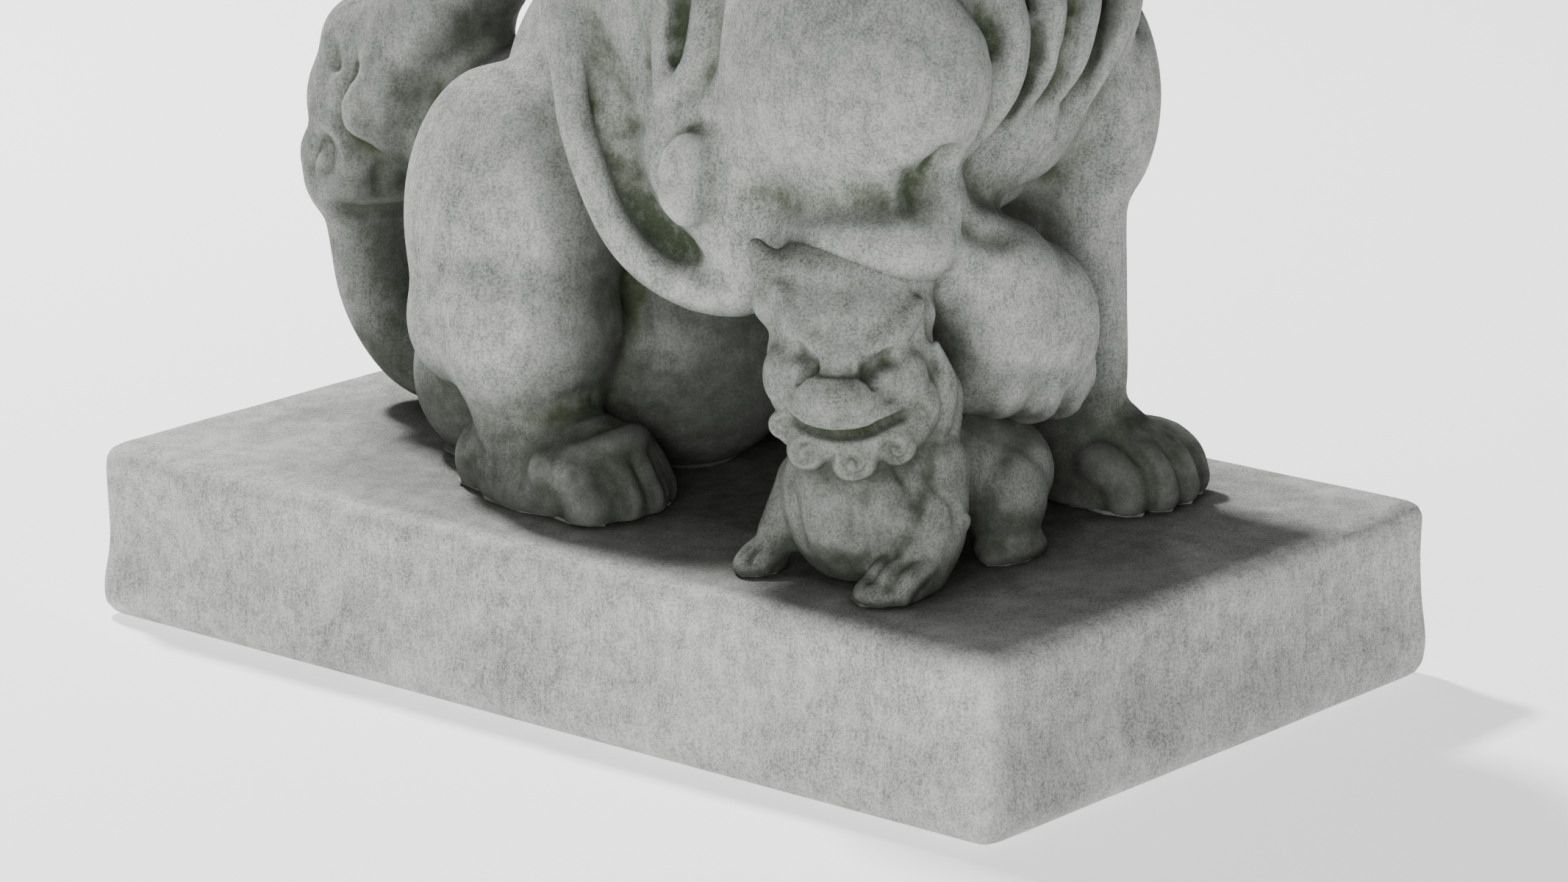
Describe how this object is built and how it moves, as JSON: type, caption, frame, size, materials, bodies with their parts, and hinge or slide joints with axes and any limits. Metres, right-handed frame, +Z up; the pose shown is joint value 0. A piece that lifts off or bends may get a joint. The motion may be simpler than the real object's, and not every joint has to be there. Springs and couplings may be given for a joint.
{
  "type": "foo dog statue",
  "caption": "Seated guardian lioness of cast stone with one forepaw raised over her cub, sectional and doweled, on a heavy rectangular plinth.",
  "frame": {"origin": "centre of the plinth's underside", "axes": "+Z up; the lioness faces -Y; her right side, the side of the raised paw, is -X; the cub faces -X"},
  "size_m": [0.58, 0.956, 1.05],
  "materials": {
    "plinth_stone": "tooled, fine dark speckle, slightly weathered",
    "lion_stone": "rubbed smooth, cloudy grey, green-black growth in the creases",
    "cub_stone": "rubbed smooth, cloudy grey, green-black growth in the creases",
    "bed_mortar": "fine pale mortar, smoothed by hand",
    "dowel_steel": "plain stainless bar"
  },
  "bodies": {
    "root": {"plinth": "plinth_stone", "trunk": "lion_stone", "head": "lion_stone", "tail": "lion_stone", "right_haunch": "lion_stone", "right_foreleg": "lion_stone", "left_haunch": "lion_stone", "left_foreleg": "lion_stone", "cub": "cub_stone", "belly_bed": "bed_mortar", "right_rump_bed": "bed_mortar", "left_rump_bed": "bed_mortar", "right_hind_foot_bed": "bed_mortar", "left_hind_foot_bed": "bed_mortar", "left_fore_foot_bed": "bed_mortar", "tail_bed": "bed_mortar", "cub_chest_bed": "bed_mortar", "cub_right_fore_foot_bed": "bed_mortar", "cub_left_fore_foot_bed": "bed_mortar", "cub_right_hind_foot_bed": "bed_mortar", "cub_left_hind_foot_bed": "bed_mortar", "belly_dowel": "dowel_steel", "right_hind_foot_dowel": "dowel_steel", "left_hind_foot_dowel": "dowel_steel", "left_fore_foot_dowel": "dowel_steel", "right_hip_dowel": "dowel_steel", "left_hip_dowel": "dowel_steel", "right_shoulder_dowel": "dowel_steel", "right_elbow_dowel": "dowel_steel", "left_shoulder_dowel": "dowel_steel", "right_neck_dowel": "dowel_steel", "left_neck_dowel": "dowel_steel", "tail_dowel": "dowel_steel", "cub_chest_dowel": "dowel_steel"}
  },
  "joints": []
}
